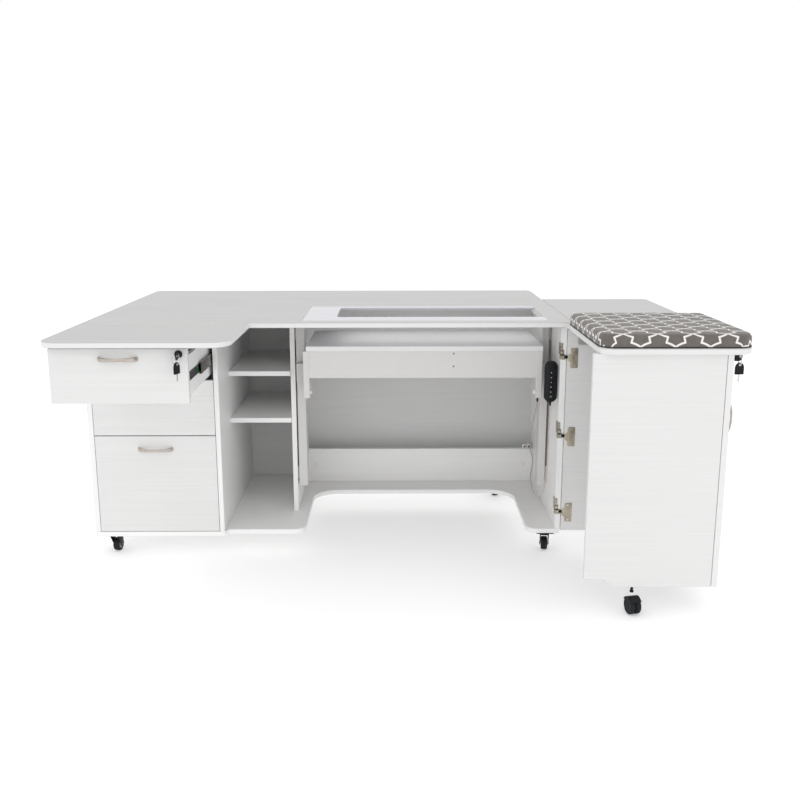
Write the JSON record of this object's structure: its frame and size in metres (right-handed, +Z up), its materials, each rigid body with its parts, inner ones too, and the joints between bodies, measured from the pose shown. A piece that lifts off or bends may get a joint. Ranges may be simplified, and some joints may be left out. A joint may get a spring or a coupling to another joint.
{
  "type": "sewing table",
  "caption": "Wheeled sewing cabinet with drawers, shelf bay, knee space, motorised machine lift, hinged worktop leaves, and a folding door that carries an ironing board.",
  "frame": {"origin": "on the floor, below the middle of the open table’s width and depth", "axes": "+X to the sewer’s right along the worktop, +Y from the sewer towards the back, +Z up"},
  "size_m": [1.93, 1.4376, 0.8033],
  "materials": {
    "white_laminate": "matt white laminate with a fine horizontal grain",
    "worktop_laminate": "light grey-white laminate with fine horizontal grain",
    "acrylic": "polished white acrylic with a cool tint",
    "lift_metal": "white powder coat",
    "nickel": "satin nickel",
    "hinge_steel": "nickel-plated steel",
    "slide_steel": "black zinc",
    "black_plastic": "fine-textured black plastic",
    "caster_rubber": "black polyurethane tread",
    "grey_plastic": "grey plastic",
    "pad_fabric": "printed cotton over foam, dark warm grey with a white lattice",
    "cable_skin": "beige cable sheath"
  },
  "bodies": {
    "cabinet": {"base_plate": "white_laminate", "left_end_panel": "white_laminate", "drawer_partition": "white_laminate", "shelf_partition": "white_laminate", "right_end_panel": "white_laminate", "back_panel": "white_laminate", "rear_stretcher": "white_laminate", "upper_shelf": "white_laminate", "lower_shelf": "white_laminate", "worktop": "worktop_laminate", "left_lift_column": "lift_metal", "right_lift_column": "lift_metal", "hinge_arm_top": "hinge_steel", "hinge_arm_middle": "hinge_steel", "hinge_arm_bottom": "hinge_steel", "remote_control": "black_plastic", "cable_connector": "black_plastic", "remote_cable": "cable_skin", "lift_cable": "cable_skin"},
    "top_drawer": {"top_drawer_front": "white_laminate", "top_drawer_box": "white_laminate", "top_drawer_handle": "nickel", "drawer_lock": "black_plastic"},
    "drawer_key": {"drawer_key": "black_plastic"},
    "top_slides": {"top_slide_member_left": "slide_steel", "top_slide_member_right": "slide_steel"},
    "middle_drawer": {"middle_drawer_front": "white_laminate", "middle_drawer_box": "white_laminate", "middle_drawer_handle": "nickel"},
    "bottom_drawer": {"bottom_drawer_front": "white_laminate", "bottom_drawer_box": "white_laminate", "bottom_drawer_handle": "nickel"},
    "front_leaf": {"front_leaf": "worktop_laminate"},
    "right_leaf": {"right_leaf": "worktop_laminate"},
    "rear_leaf": {"rear_leaf": "worktop_laminate"},
    "door": {"door_panel": "white_laminate", "hinge_cup_top": "hinge_steel", "hinge_cup_middle": "hinge_steel", "hinge_cup_bottom": "hinge_steel", "board_rest_rail": "grey_plastic"},
    "wing_side": {"wing_side_panel": "white_laminate", "door_handle": "nickel", "door_lock": "black_plastic"},
    "door_key": {"door_key": "black_plastic"},
    "wing_front": {"wing_front_panel": "white_laminate"},
    "ironing_board": {"ironing_board": "white_laminate", "ironing_pad": "pad_fabric"},
    "machine_lift": {"lift_platform": "white_laminate", "lift_carriage": "white_laminate"},
    "machine_insert": {"machine_insert": "acrylic"},
    "front_left_caster": {"caster_fork_front_left": "black_plastic"},
    "front_left_caster_wheel": {"caster_wheel_front_left": "caster_rubber"},
    "front_right_caster": {"caster_fork_front_right": "black_plastic"},
    "front_right_caster_wheel": {"caster_wheel_front_right": "caster_rubber"},
    "rear_left_caster": {"caster_fork_rear_left": "black_plastic"},
    "rear_left_caster_wheel": {"caster_wheel_rear_left": "caster_rubber"},
    "rear_right_caster": {"caster_fork_rear_right": "black_plastic"},
    "rear_right_caster_wheel": {"caster_wheel_rear_right": "caster_rubber"},
    "wing_caster": {"caster_fork_wing": "black_plastic"},
    "wing_caster_wheel": {"caster_wheel_wing": "caster_rubber"}
  },
  "joints": [
    {"name": "top_drawer_slide", "type": "slide", "parent": "cabinet", "child": "top_drawer", "axis": [0, 1, 0], "range_m": [-0.06, 0.34]},
    {"name": "top_slides_travel", "type": "slide", "parent": "cabinet", "child": "top_slides", "axis": [0, 1, 0], "range_m": [-0.03, 0.17]},
    {"name": "middle_drawer_slide", "type": "slide", "parent": "cabinet", "child": "middle_drawer", "axis": [0, -1, 0], "range_m": [0, 0.4]},
    {"name": "bottom_drawer_slide", "type": "slide", "parent": "cabinet", "child": "bottom_drawer", "axis": [0, -1, 0], "range_m": [0, 0.4]},
    {"name": "drawer_key_turn", "type": "hinge", "parent": "top_drawer", "child": "drawer_key", "pos_m": [-0.586, -0.6081, 0.729], "axis": [0, -1, 0], "range_deg": [0, 90]},
    {"name": "front_leaf_fold", "type": "hinge", "parent": "cabinet", "child": "front_leaf", "pos_m": [-0.703, -0.2545, 0.7685], "axis": [-1, 0, 0], "range_deg": [0, 180]},
    {"name": "right_leaf_fold", "type": "hinge", "parent": "cabinet", "child": "right_leaf", "pos_m": [0.568, 0.07, 0.7685], "axis": [0, -1, 0], "range_deg": [0, 180]},
    {"name": "rear_leaf_drop", "type": "hinge", "parent": "cabinet", "child": "rear_leaf", "pos_m": [-0.199, 0.3945, 0.7515], "axis": [1, 0, 0], "range_deg": [-90, 0]},
    {"name": "door_swing", "type": "hinge", "parent": "cabinet", "child": "door", "pos_m": [0.553, -0.2345, 0.41], "axis": [0, 0, 1], "range_deg": [-180, 0]},
    {"name": "wing_side_fold", "type": "hinge", "parent": "door", "child": "wing_side", "pos_m": [0.8995, -0.233, 0.41], "axis": [0, 0, 1], "range_deg": [0, 90]},
    {"name": "wing_front_fold", "type": "hinge", "parent": "wing_side", "child": "wing_front", "pos_m": [0.8975, -0.6715, 0.41], "axis": [0, 0, 1], "range_deg": [-90, 0]},
    {"name": "door_key_turn", "type": "hinge", "parent": "wing_side", "child": "door_key", "pos_m": [0.9316, -0.6495, 0.73], "axis": [1, 0, 0], "range_deg": [0, 90]},
    {"name": "ironing_board_lift", "type": "slide", "parent": "cabinet", "child": "ironing_board", "axis": [0, 0, 1], "range_m": [0, 0.08]},
    {"name": "machine_lift_travel", "type": "slide", "parent": "cabinet", "child": "machine_lift", "axis": [0, 0, 1], "range_m": [-0.255, 0.076]},
    {"name": "insert_lift", "type": "slide", "parent": "cabinet", "child": "machine_insert", "axis": [0, 0, 1], "range_m": [0, 0.05]},
    {"name": "front_left_caster_swivel", "type": "hinge", "parent": "cabinet", "child": "front_left_caster", "pos_m": [-0.913, -0.2135, 0.05], "axis": [0, 0, 1], "continuous": true},
    {"name": "front_left_caster_roll", "type": "hinge", "parent": "front_left_caster", "child": "front_left_caster_wheel", "pos_m": [-0.9109, -0.19966, 0.022], "axis": [-0.9887, 0.1498, 0], "continuous": true},
    {"name": "front_right_caster_swivel", "type": "hinge", "parent": "cabinet", "child": "front_right_caster", "pos_m": [0.506, -0.2155, 0.05], "axis": [0, 0, 1], "continuous": true},
    {"name": "front_right_caster_roll", "type": "hinge", "parent": "front_right_caster", "child": "front_right_caster_wheel", "pos_m": [0.5074, -0.20157, 0.022], "axis": [-0.995, 0.1, 0], "continuous": true},
    {"name": "rear_left_caster_swivel", "type": "hinge", "parent": "cabinet", "child": "rear_left_caster", "pos_m": [-0.913, 0.3365, 0.05], "axis": [0, 0, 1], "continuous": true},
    {"name": "rear_left_caster_roll", "type": "hinge", "parent": "rear_left_caster", "child": "rear_left_caster_wheel", "pos_m": [-0.90602, 0.34864, 0.022], "axis": [-0.867, 0.4983, 0], "continuous": true},
    {"name": "rear_right_caster_swivel", "type": "hinge", "parent": "cabinet", "child": "rear_right_caster", "pos_m": [0.407, 0.3525, 0.05], "axis": [0, 0, 1], "continuous": true},
    {"name": "rear_right_caster_roll", "type": "hinge", "parent": "rear_right_caster", "child": "rear_right_caster_wheel", "pos_m": [0.40224, 0.36567, 0.022], "axis": [-0.9404, -0.3401, 0], "continuous": true},
    {"name": "wing_caster_swivel", "type": "hinge", "parent": "wing_front", "child": "wing_caster", "pos_m": [0.6795, -0.683, 0.05], "axis": [0, 0, 1], "continuous": true},
    {"name": "wing_caster_roll", "type": "hinge", "parent": "wing_caster", "child": "wing_caster_wheel", "pos_m": [0.6817, -0.69275, 0.025], "axis": [0.9755, 0.2201, 0], "continuous": true}
  ],
  "couplings": [
    {"joint": "top_slides_travel", "follows": "top_drawer_slide", "ratio": 0.5},
    {"joint": "wing_side_fold", "follows": "door_swing", "ratio": -0.5},
    {"joint": "wing_front_fold", "follows": "door_swing", "ratio": 0.5}
  ]
}
